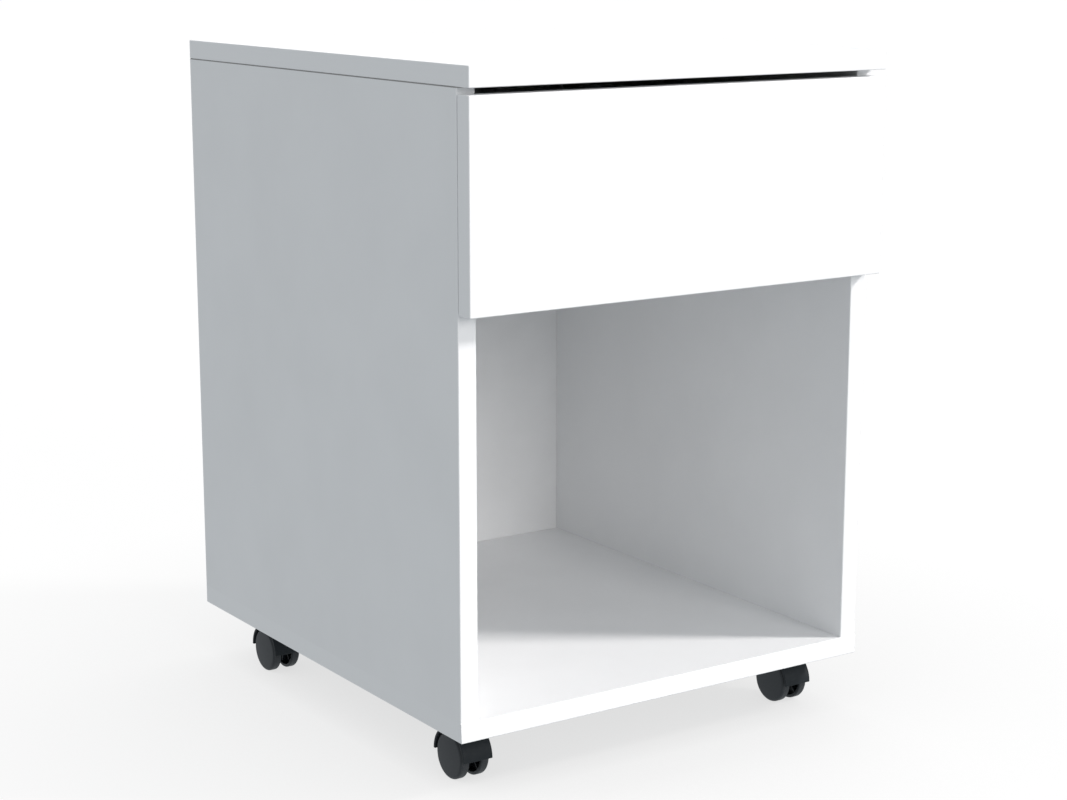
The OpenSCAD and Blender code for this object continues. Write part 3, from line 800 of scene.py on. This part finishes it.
# %% Using a tree
def grown(mesh, tree, keys, values):
    """The plain mesh that a geometry node tree makes from a mesh."""
    holder = bpy.data.objects.new("holder", mesh)
    bpy.context.scene.collection.objects.link(holder)
    modifier = holder.modifiers.new("tree", "NODES")
    modifier.node_group = tree
    for label, value in values.items():
        modifier[keys[label]] = value
    depsgraph = bpy.context.evaluated_depsgraph_get()
    result = bpy.data.meshes.new_from_object(holder.evaluated_get(depsgraph))
    bpy.data.objects.remove(holder)
    return result


def turned(points, steps, finish):
    """A closed solid turned from (radius, height) points, along Z."""
    section = bpy.data.meshes.new("section")
    rows = [(radius, 0, height) for radius, height in points]
    section.from_pydata(rows, [(i, i + 1) for i in range(len(rows) - 1)], [])
    mesh = grown(section, TURNING, TURNING_KEYS, {"Steps": steps, "Finish": finish})
    work = bmesh.new()
    work.from_mesh(mesh)
    bmesh.ops.remove_doubles(work, verts=work.verts, dist=SAME_PLACE)
    bmesh.ops.recalc_face_normals(work, faces=work.faces)
    return to_mesh(work, "turned")


def arc(middle, radius, start, end, steps):
    """(radius, height) points on an arc, from one angle in degrees to another."""
    points = []
    for i in range(steps + 1):
        angle = math.radians(start + (end - start) * i / steps)
        points.append((middle[0] + radius * math.cos(angle), middle[1] + radius * math.sin(angle)))
    return points


print("turning helpers: grown, turned, arc")

# %% [markdown]
# ## A ring of ribs
#
# Each caster wheel is stiffened by ribs between its hub and its rim. They repeat round the
# hub, so a second tree places copies of one rib on a ring of points, all turned outward.

# %% Ring tree
def ring_tree():
    """Places copies of one upright rib round the Z axis."""
    inlets = [("Rib", "Geometry"), ("Count", "Int"), ("Radius", "Float"), ("Finish", "Material")]
    graph, keys = new_tree("ring_of_ribs", inlets)
    ring = {"Vertices": graph.inlet["Count"], "Radius": graph.inlet["Radius"]}
    circle = graph.node("GeometryNodeMeshCircle", None, ring)
    inputs = {"Vector": graph.node("GeometryNodeInputPosition")}
    outward = graph.node("FunctionNodeAlignRotationToVector", {"axis": "X"}, inputs)
    inputs = {"Points": circle, "Instance": graph.inlet["Rib"], "Rotation": outward}
    copies = graph.node("GeometryNodeInstanceOnPoints", None, inputs)
    close_tree(graph, copies, graph.inlet["Finish"])
    return graph.tree, keys


RING, RING_KEYS = ring_tree()
print(f"ring tree: {len(RING.nodes)} nodes")

# %% [markdown]
# ## The section of a wheel
#
# A caster wheel is a moulded cup. Its outer face is closed and slightly crowned, its shoulders
# are round, and the hub and the ribs show through the gap between the wheels. The section runs
# from the middle of the face over the rim and back inside to the axle's bore.

# %% Wheel section
WHEEL_LOW, WHEEL_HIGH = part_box("caster_wheel_fl_a")
WHEEL_R = (WHEEL_HIGH.z - WHEEL_LOW.z) / 2
WHEEL_W = WHEEL_HIGH.x - WHEEL_LOW.x
WHEEL_CROWN = 0.7 * MM
SHOULDER = 3 * MM
LIP = 1.2 * MM
RIM_T = 3 * MM
DISC_T = 2.2 * MM
HUB_R = 5 * MM
AXLE_BORE_R = 2.55 * MM
BORE_DEPTH = 7 * MM
HOLLOW_FILLET = 1.2 * MM
HOLLOW_EASE = 0.4 * MM
FACE_STEPS = 10
SHOULDER_STEPS = 8
LIP_STEPS = 6
FILLET_STEPS = 4


def wheel_section():
    """Half section of the cup, from the middle of its face round to the end of its bore."""
    crown_r = WHEEL_R - SHOULDER

    def face_height(radius):
        return WHEEL_W - WHEEL_CROWN * (radius / WHEEL_R) ** 2

    face_r = [crown_r * i / FACE_STEPS for i in range(FACE_STEPS)]
    face = [(radius, face_height(radius)) for radius in face_r]
    shoulder_z = face_height(crown_r) - SHOULDER
    shoulder = arc((crown_r, shoulder_z), SHOULDER, 90, 0, SHOULDER_STEPS)
    lip = arc((WHEEL_R - LIP, LIP), LIP, 0, -90, LIP_STEPS)
    rim_r = WHEEL_R - RIM_T
    mouth = [(rim_r + HOLLOW_EASE, 0), (rim_r, HOLLOW_EASE)]
    fillet_z = WHEEL_W - WHEEL_CROWN - DISC_T - HOLLOW_FILLET
    corner_out = arc((rim_r - HOLLOW_FILLET, fillet_z), HOLLOW_FILLET, 0, 90, FILLET_STEPS)
    corner_in = arc((HUB_R + HOLLOW_FILLET, fillet_z), HOLLOW_FILLET, 90, 180, FILLET_STEPS)
    hub = [(HUB_R, HOLLOW_EASE), (HUB_R - HOLLOW_EASE, 0)]
    bore = [(AXLE_BORE_R, 0), (AXLE_BORE_R, BORE_DEPTH), (0, BORE_DEPTH)]
    return face + shoulder + lip + mouth + corner_out + corner_in + hub + bore


print(f"wheel section: {len(wheel_section())} points")

# %% [markdown]
# ## A whole wheel
#
# The turned cup and its ring of ribs become one mesh. A rib reaches a little into the hub and
# the rim, as moulded plastic does. The attribute `tread` marks the running surface, and the
# wheel's finish reads it to put the scuffs there.

# %% Wheel
WHEEL_STEPS = 96
RIB_COUNT = 6
RIB_T = 1.2 * MM
RIB_OVERLAP = 1 * MM
RIB_SETBACK = 1.5 * MM
RIB_EASE = 0.3 * MM
RIB_EASE_STEPS = 2
TREAD_REACH = 0.97
TREAD_MARGIN = 0.5 * MM
TREAD_FACE_MARGIN = 1.5 * MM


def rib_mesh():
    """One rib, from the hub to the rim, seen from its middle, with eased lower edges."""
    length = WHEEL_R - RIM_T - HUB_R + RIB_OVERLAP
    height = WHEEL_W - WHEEL_CROWN - DISC_T - RIB_OVERLAP
    middle = RIB_SETBACK + height / 2
    work = bmesh.new()
    place = Matrix.Translation((0, 0, middle)) @ Matrix.Diagonal((length, RIB_T, height, 1))
    bmesh.ops.create_cube(work, size=1, matrix=place)
    lower = [edge for edge in work.edges if all(end.co.z < middle for end in edge.verts)]
    ease(work, lower, RIB_EASE, RIB_EASE_STEPS)
    return to_mesh(work, "rib")


def on_tread(point):
    """1 on a wheel's running surface, and 0 elsewhere."""
    outside = math.hypot(point.x, point.y) / WHEEL_R > TREAD_REACH
    return float(outside and TREAD_MARGIN < point.z < WHEEL_W - TREAD_FACE_MARGIN)


def wheel_mesh():
    """A whole wheel along Z: its inner side is at 0 and its closed face at the top."""
    work = bmesh.new()
    work.from_mesh(turned(wheel_section(), WHEEL_STEPS, WHEEL_PLASTIC))
    middle = (HUB_R + WHEEL_R - RIM_T) / 2
    values = {"Count": RIB_COUNT, "Radius": middle, "Finish": WHEEL_PLASTIC}
    work.from_mesh(grown(rib_mesh(), RING, RING_KEYS, values))
    mesh = finely_shaded(to_mesh(work, "wheel"))
    tread = mesh.attributes.new("tread", "FLOAT", "POINT")
    tread.data.foreach_set("value", [on_tread(vertex.co) for vertex in mesh.vertices])
    return mesh


WHEEL = wheel_mesh()
print(f"wheel: {2 * WHEEL_R / MM:.1f} x {WHEEL_W / MM:.1f} mm, {len(WHEEL.polygons)} faces")

# %% [markdown]
# ## The wheels in place
#
# Every wheel is a copy of this one, laid over with its closed face away from its partner. The
# small turn about the axle stands a pair of ribs as a V in the hollow that shows in front.

# %% Place the wheels
WHEEL_REST_TURN = 18


def place_wheel(node, turn_to):
    """Puts a wheel where the drawn one is, with its face towards -X or +X."""
    low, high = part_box(node)
    middle = (low + high) / 2
    inner = high.x if turn_to < 0 else low.x
    mesh = WHEEL.copy()
    turn = Matrix.Rotation(math.radians(WHEEL_REST_TURN * turn_to), 4, "Z")
    upright = Matrix.Rotation(math.radians(90 * turn_to), 4, "Y")
    mesh.transform(Matrix.Translation((inner, middle.y, middle.z)) @ upright @ turn)
    make_piece(node + "_moulded", mesh, [WHEEL_PLASTIC], node)


for corner in CORNERS:
    boxes = {end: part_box(f"caster_wheel_{corner}_{end}")[0].x for end in "ab"}
    left = min(boxes, key=boxes.get)
    for end in "ab":
        place_wheel(f"caster_wheel_{corner}_{end}", -1 if end == left else 1)
print("wheels placed: 8")

# %% [markdown]
# ## Rollers
#
# The runners roll on nylon rollers. They are turned as well: a flat tread with round shoulders,
# a shallow dished face, and a bore for the stud. Their sizes come from the drawn rollers.

# %% Rollers
ROLLER_STEPS = 64
STUD_BORE_R = 2.55 * MM
BOSS_T = 1.6 * MM
ROLLER_RIM_T = 2 * MM
ROLLER_DISH = 0.6 * MM
ROLLER_SHOULDER = 0.8 * MM


def roller_mesh(radius, width):
    """A roller along Z, from 0 to its width."""
    dish_out = radius - ROLLER_RIM_T
    dish_in = STUD_BORE_R + BOSS_T
    floor_out = dish_out - ROLLER_DISH
    floor_in = dish_in + ROLLER_DISH
    lower = [(dish_in, 0), (floor_in, ROLLER_DISH), (floor_out, ROLLER_DISH), (dish_out, 0)]
    upper = [(across, width - along) for across, along in reversed(lower)]
    shoulder_r = radius - ROLLER_SHOULDER
    foot = arc((shoulder_r, ROLLER_SHOULDER), ROLLER_SHOULDER, -90, 0, FILLET_STEPS)
    head = arc((shoulder_r, width - ROLLER_SHOULDER), ROLLER_SHOULDER, 0, 90, FILLET_STEPS)
    bore = [(STUD_BORE_R, width), (STUD_BORE_R, 0)]
    section = lower + foot + head + upper + bore
    return finely_shaded(turned(section + section[:1], ROLLER_STEPS, NYLON))


for node in [f"{end}_roller_{side}" for end in ("front", "rear") for side in ("left", "right")]:
    low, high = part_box(node)
    middle = (low + high) / 2
    mesh = roller_mesh((high.z - low.z) / 2, high.x - low.x)
    across = Matrix.Rotation(math.pi / 2, 4, "Y")
    mesh.transform(Matrix.Translation((low.x, middle.y, middle.z)) @ across)
    make_piece(node + "_turned", mesh, [NYLON], node)
    print(f"{node}: {(high.z - low.z) / MM:.1f} mm across")

# %% [markdown]
# ## A tree for screws
#
# The screws of a group are all alike, so one screw is modelled for each group. A third tree
# then stands a copy on every head point, turned along a stored direction called `facing`.

# %% Fastener tree
def fastener_tree():
    """Stands a copy of the fastener on every point, along the point's facing."""
    inlets = [("Heads", "Geometry"), ("Fastener", "Object"), ("Finish", "Material")]
    graph, keys = new_tree("fasteners", inlets)
    settings = {"data_type": "FLOAT_VECTOR"}
    facing = graph.node("GeometryNodeInputNamedAttribute", settings, {"Name": "facing"})
    upright = graph.node("FunctionNodeAlignRotationToVector", {"axis": "Z"}, {"Vector": facing})
    model = graph.node("GeometryNodeObjectInfo", None, {"Object": graph.inlet["Fastener"]}, "Geometry")
    inputs = {"Points": graph.inlet["Heads"], "Instance": model, "Rotation": upright}
    copies = graph.node("GeometryNodeInstanceOnPoints", None, inputs)
    close_tree(graph, copies, graph.inlet["Finish"])
    return graph.tree, keys


FASTENERS, FASTENER_KEYS = fastener_tree()
print(f"fastener tree: {len(FASTENERS.nodes)} nodes")

# %% [markdown]
# ## Heads and threads
#
# A countersunk head is a cone with a flat top. A pan head is a low dome that stands on the
# surface. A rolled thread is drawn as a row of crests and not as a helix, which looks the same
# at this size and turns from one section.

# %% Heads and threads
THREAD_PITCH = 2.6
CREST_HALF = 0.3
HEAD_EASE = 0.12 * MM
DOME_ANGLES = (0.0, 0.5, 0.9, 1.2, 1.4)
PAN_EDGE = 0.15


def thread_rings(root_r, crest_r, start, end):
    """(radius, height) points of thread crests from one height down to another."""
    pitch = (crest_r - root_r) * THREAD_PITCH
    count = max(1, round((start - end) / pitch))
    points = []
    for i in range(count):
        middle = start - (i + 0.5) * (start - end) / count
        points.append((root_r, middle + CREST_HALF * pitch))
        points.append((crest_r, middle))
        points.append((root_r, middle - CREST_HALF * pitch))
    return points


def flat_head(head_r, shank_r):
    """Section of a countersunk head, its flat at 0."""
    cone_end = (shank_r, HEAD_EASE - head_r + shank_r)
    return [(0, 0), (head_r - HEAD_EASE, 0), (head_r, -HEAD_EASE), cone_end]


def pan_head(head_r, head_h, shank_r):
    """Section of a rounded head that stands on the surface, with its underside at 0."""
    dome = [(head_r * math.sin(angle), head_h * math.cos(angle)) for angle in DOME_ANGLES]
    return dome + [(head_r, PAN_EDGE * head_h), (head_r, 0), (shank_r, 0)]


print("section helpers: thread_rings, flat_head, pan_head")

# %% [markdown]
# ## A whole screw
#
# The head, the thread and the tip are turned as one section. Then two tapered bars cut the
# cross recess, one after the other, because bars that overlap in one cut would cancel out.

# %% Screw
SCREW_STEPS = 32
ROOT_SHARE = 0.78
POINT_LENGTH = 1.6
TIP_WIDTH = 0.25
RECESS_SPAN = 1.15
RECESS_DEPTH = 0.4
RECESS_SLIMNESS = 5
RECESS_TAPER = 0.35


def slot_cutter(size, depth, turn):
    """A tapered bar that cuts one slot of a cross recess, down from 0."""
    work = bmesh.new()
    bar = Matrix.Diagonal((size, size / RECESS_SLIMNESS, depth * 2, 1))
    place = Matrix.Rotation(turn, 4, "Z") @ bar
    made = bmesh.ops.create_cube(work, size=1, matrix=place)
    for vertex in made["verts"]:
        if vertex.co.z < 0:
            vertex.co.x *= RECESS_TAPER
            vertex.co.y *= RECESS_TAPER
    return to_mesh(work, "slot")


def screw_mesh(head, head_r, shank_r, length):
    """A screw along Z with its tip at -length. `head` is its section above the shank."""
    thread_end = -length + shank_r * POINT_LENGTH
    thread = thread_rings(shank_r * ROOT_SHARE, shank_r, -head_r, thread_end)
    tip = [(TIP_WIDTH * shank_r, -length), (0, -length)]
    mesh = turned(head + thread + tip, SCREW_STEPS, ZINC_STEEL)
    top = max(height for _, height in head)
    for turn in (0, math.pi / 2):
        cutter = slot_cutter(head_r * RECESS_SPAN, head_r * RECESS_DEPTH, turn)
        cutter.transform(Matrix.Translation((0, 0, top)))
        mesh = combined(mesh, cutter, "DIFFERENCE")
    return mesh


print("screw helper: a turned screw with a cross recess")

# %% [markdown]
# ## Where the screws stand
#
# Each group of screws is one drawn part with several separate solids. Walking from corner to
# corner along the edges finds one solid after the other, and its box tells where it stands.
# The head's direction depends on the group: down, towards the middle, or away from it.

# %% Find the screws
def solids_of(node):
    """The low and high corners of each separate solid in a part."""
    work = bmesh.new()
    work.from_mesh(NODES[node].data)
    bmesh.ops.remove_doubles(work, verts=work.verts, dist=SAME_PLACE)
    left = set(work.verts)
    boxes = []
    while left:
        reached = [left.pop()]
        corners = []
        while reached:
            vertex = reached.pop()
            corners.append(vertex.co.copy())
            for edge in vertex.link_edges:
                other = edge.other_vert(vertex)
                if other in left:
                    left.remove(other)
                    reached.append(other)
        boxes.append((Vector(map(min, zip(*corners))), Vector(map(max, zip(*corners)))))
    work.free()
    return boxes


def down(_):
    return Vector((0, 0, -1))


def inward(middle):
    return Vector((-math.copysign(1, middle.x), 0, 0))


def outward(middle):
    return Vector((math.copysign(1, middle.x), 0, 0))


print("screws in the base:", len(solids_of("base_screws")))

# %% [markdown]
# ## Place the screws
#
# The head points are the vertices of a small mesh, each with its `facing`. A pan head stands
# above the surface by its own height, so its point lies that much further in.

# %% Place the screws
def place_fasteners(node, fastener, facing, head_h=0.0):
    """Stands a fastener in each solid of a group. head_h is what stands above the surface."""
    points = bpy.data.meshes.new("heads")
    heads = []
    ways = []
    for low, high in solids_of(node):
        middle = (low + high) / 2
        way = facing(middle)
        reach = abs(((high - low) / 2).dot(way))
        heads.append(middle + way * (reach - head_h))
        ways.append(way)
    points.from_pydata(heads, [], [])
    stored = points.attributes.new("facing", "FLOAT_VECTOR", "POINT")
    stored.data.foreach_set("vector", [value for way in ways for value in way])
    model = bpy.data.objects.new("fastener", fastener)
    values = {"Fastener": model, "Finish": ZINC_STEEL}
    mesh = finely_shaded(grown(points, FASTENERS, FASTENER_KEYS, values))
    bpy.data.objects.remove(model)
    make_piece(node + "_threaded", mesh, [ZINC_STEEL], node)
    print(f"{node}: {len(heads)} fasteners")


BASE_R = 3.5 * MM
BASE_HEAD_R = 5 * MM
BASE_LENGTH = 50 * MM
SCREW_R = 1.75 * MM
SCREW_HEAD_R = 3.4 * MM
SHORT = 15 * MM
LONG = 38 * MM
PAN_H = 1.6 * MM
TALL_PAN_H = 2.0 * MM
countersunk = flat_head(SCREW_HEAD_R, SCREW_R)
low_dome = pan_head(SCREW_HEAD_R, PAN_H, SCREW_R)
tall_dome = pan_head(SCREW_HEAD_R, TALL_PAN_H, SCREW_R)
base_screw = screw_mesh(flat_head(BASE_HEAD_R, BASE_R), BASE_HEAD_R, BASE_R, BASE_LENGTH)
small_flat = screw_mesh(countersunk, SCREW_HEAD_R, SCREW_R, SHORT)
long_flat = screw_mesh(countersunk, SCREW_HEAD_R, SCREW_R, LONG)
small_pan = screw_mesh(low_dome, SCREW_HEAD_R, SCREW_R, SHORT)
tall_pan = screw_mesh(tall_dome, SCREW_HEAD_R, SCREW_R, SHORT)
place_fasteners("base_screws", base_screw, down)
place_fasteners("cabinet_runner_screws", small_flat, inward)
place_fasteners("drawer_back_screws", long_flat, outward)
place_fasteners("drawer_runner_screws", small_pan, down, PAN_H)
place_fasteners("caster_screws", tall_pan, down, TALL_PAN_H)

# %% [markdown]
# ## Parts that keep their drawn shape
#
# The rest is already right as it was drawn: thin panels, cam locks and their bolts, dowels,
# pins, axles, washers and rings. They only take a finish, which is chosen by what each one is
# made of. Assigning it to the part's material slots leaves its mesh alone.

# %% Finish the drawn parts
FINISH_OF_SLOT = {
    "hardboard": HARDBOARD,
    "beech": BEECH,
    "die_cast_zinc": CAST_ZINC,
    "zinc_steel": ZINC_STEEL,
    "nylon": NYLON,
}
kept = [node for node, part in NODES.items() if not part.hide_render]
for node in kept:
    slots = NODES[node].data.materials
    slots.clear()
    slots.append(FINISH_OF_SLOT[SLOT_OF[node]])
print("kept as drawn:", ", ".join(sorted(kept)))

# %% [markdown]
# ## Floor
#
# A pale floor and a white room let a white cabinet stand out only by its shading. The floor
# works like a light table: it glows white where it sees the whole room, and its glow is darkened
# where the cabinet stands over it, a painted shadow that the Ambient Occlusion node measures. A
# thin matt share lets the lamps cast a faint shadow too. The floor is hidden from bounced rays,
# so its glow doesn't light the cabinet from below.

# %% Floor
FLOOR_HALF = 30
FLOOR_SHADE_REACH = 0.5
FLOOR_SHADE_SAMPLES = 6
FLOOR_SHADED = 0.69
FLOOR_OPEN = 0.935
FLOOR_MATT = 0.06


def floor_finish():
    material = bpy.data.materials.new("pale_floor")
    material.use_nodes = True
    graph = Graph(material.node_tree)
    graph.tree.nodes.clear()
    settings = {"samples": FLOOR_SHADE_SAMPLES}
    inputs = {"Distance": FLOOR_SHADE_REACH}
    open_sky = graph.node("ShaderNodeAmbientOcclusion", settings, inputs, "AO")
    # The glow colour is darker where the cabinet hides the room: a painted shadow.
    inputs = {0: open_sky, 6: grey(FLOOR_SHADED), 7: grey(FLOOR_OPEN)}
    glow_color = graph.node("ShaderNodeMix", {"data_type": "RGBA"}, inputs, 2)
    glow = graph.node("ShaderNodeEmission", None, {"Color": glow_color, "Strength": 1.0})
    matt = graph.node("ShaderNodeBsdfDiffuse", None, {"Color": grey(FLOOR_MATT)})
    both = graph.node("ShaderNodeAddShader", None, {0: matt, 1: glow})
    graph.feed(graph.tree.nodes.new("ShaderNodeOutputMaterial").inputs["Surface"], both)
    return material


floor_mesh = bpy.data.meshes.new("floor")
square = ((-1, -1), (1, -1), (1, 1), (-1, 1))
floor_corners = [(x * FLOOR_HALF, y * FLOOR_HALF, 0) for x, y in square]
floor_mesh.from_pydata(floor_corners, [], [(0, 1, 2, 3)])
floor_mesh.materials.append(floor_finish())
floor = bpy.data.objects.new("floor", floor_mesh)
floor.visible_diffuse = False
floor.visible_glossy = False
bpy.context.scene.collection.objects.link(floor)
floor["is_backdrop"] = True
print(f"floor: {2 * FLOOR_HALF} m square")

# %% [markdown]
# ## Room
#
# The room lights the cabinet evenly from all sides, so its left side turns a flat light grey.
# It counts a little more in reflections, which gives the black plastic its soft sheen. Seen
# straight on it is plain white. The tint is slightly cool, because the lamps are a bit warm.

# %% Room
ROOM_GLOW = 0.515
ROOM_TINT = (0.955, 1.0, 1.035, 1)
ROOM_SHEEN = 0.62
world = bpy.data.worlds.new("room")
world.use_nodes = True
bpy.context.scene.world = world
room = Graph(world.node_tree)
room.tree.nodes.clear()
seen = room.node("ShaderNodeLightPath", output="Is Camera Ray")
mirrored = room.node("ShaderNodeLightPath", output="Is Glossy Ray")
strength = ROOM_GLOW + seen * (1.0 - ROOM_GLOW) + mirrored * (ROOM_SHEEN - ROOM_GLOW)
inputs = {0: seen, 6: ROOM_TINT, 7: grey(1.0)}
tint = room.node("ShaderNodeMix", {"data_type": "RGBA"}, inputs, 2)
backdrop = room.node("ShaderNodeBackground", None, {"Color": tint, "Strength": strength})
room.feed(room.tree.nodes.new("ShaderNodeOutputWorld").inputs["Surface"], backdrop)
print(f"room: lights with {ROOM_GLOW}, mirrors as {ROOM_SHEEN}, looks white")

# %% [markdown]
# ## Lamps
#
# Three distant lamps add to the room. The key lamp is high on the right and fairly small, so
# its shadows have soft but clear edges. It makes the top and the right side white. A wide low
# lamp in front fills the drawer front and shines into the compartment, and a weak one behind
# keeps the back from going flat.

# %% Lamps
LAMP_TINT = (1.0, 0.965, 0.945)
LAMP_DISTANCE = 3
CABINET_MIDDLE = Vector((0, 0, 0.3))


def add_lamp(name, towards, energy, width):
    """Adds a distant lamp that is `width` degrees wide and shines from a direction."""
    data = bpy.data.lights.new(name, "SUN")
    data.energy = energy
    data.angle = math.radians(width)
    data.color = LAMP_TINT
    made = bpy.data.objects.new(name, data)
    way = Vector(towards).normalized()
    made.location = CABINET_MIDDLE + way * LAMP_DISTANCE
    made.rotation_euler = way.to_track_quat("Z", "Y").to_euler()
    bpy.context.scene.collection.objects.link(made)
    print(f"{name}: from {[round(along, 2) for along in way]}, strength {energy}")


add_lamp("key_lamp", (0.664, -0.444, 0.602), energy=2.85, width=8)
add_lamp("front_lamp", (0.05, -1, 0.35), energy=1.1, width=30)
add_lamp("back_lamp", (0.35, 1, 0.1), energy=0.6, width=50)
bpy.context.scene.view_settings.view_transform = "Standard"

# %% [markdown]
# ## Measure
#
# The finished cabinet has to fill the same box as its drawn parts. This cell prints both boxes,
# so that a part that grew or moved shows at once.

# %% Sizes
boxes = {"cad": CAD_BOX, "visual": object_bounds()}
for name, (low, high) in boxes.items():
    print(name, [round(value / MM, 2) for value in (*low, *high)])
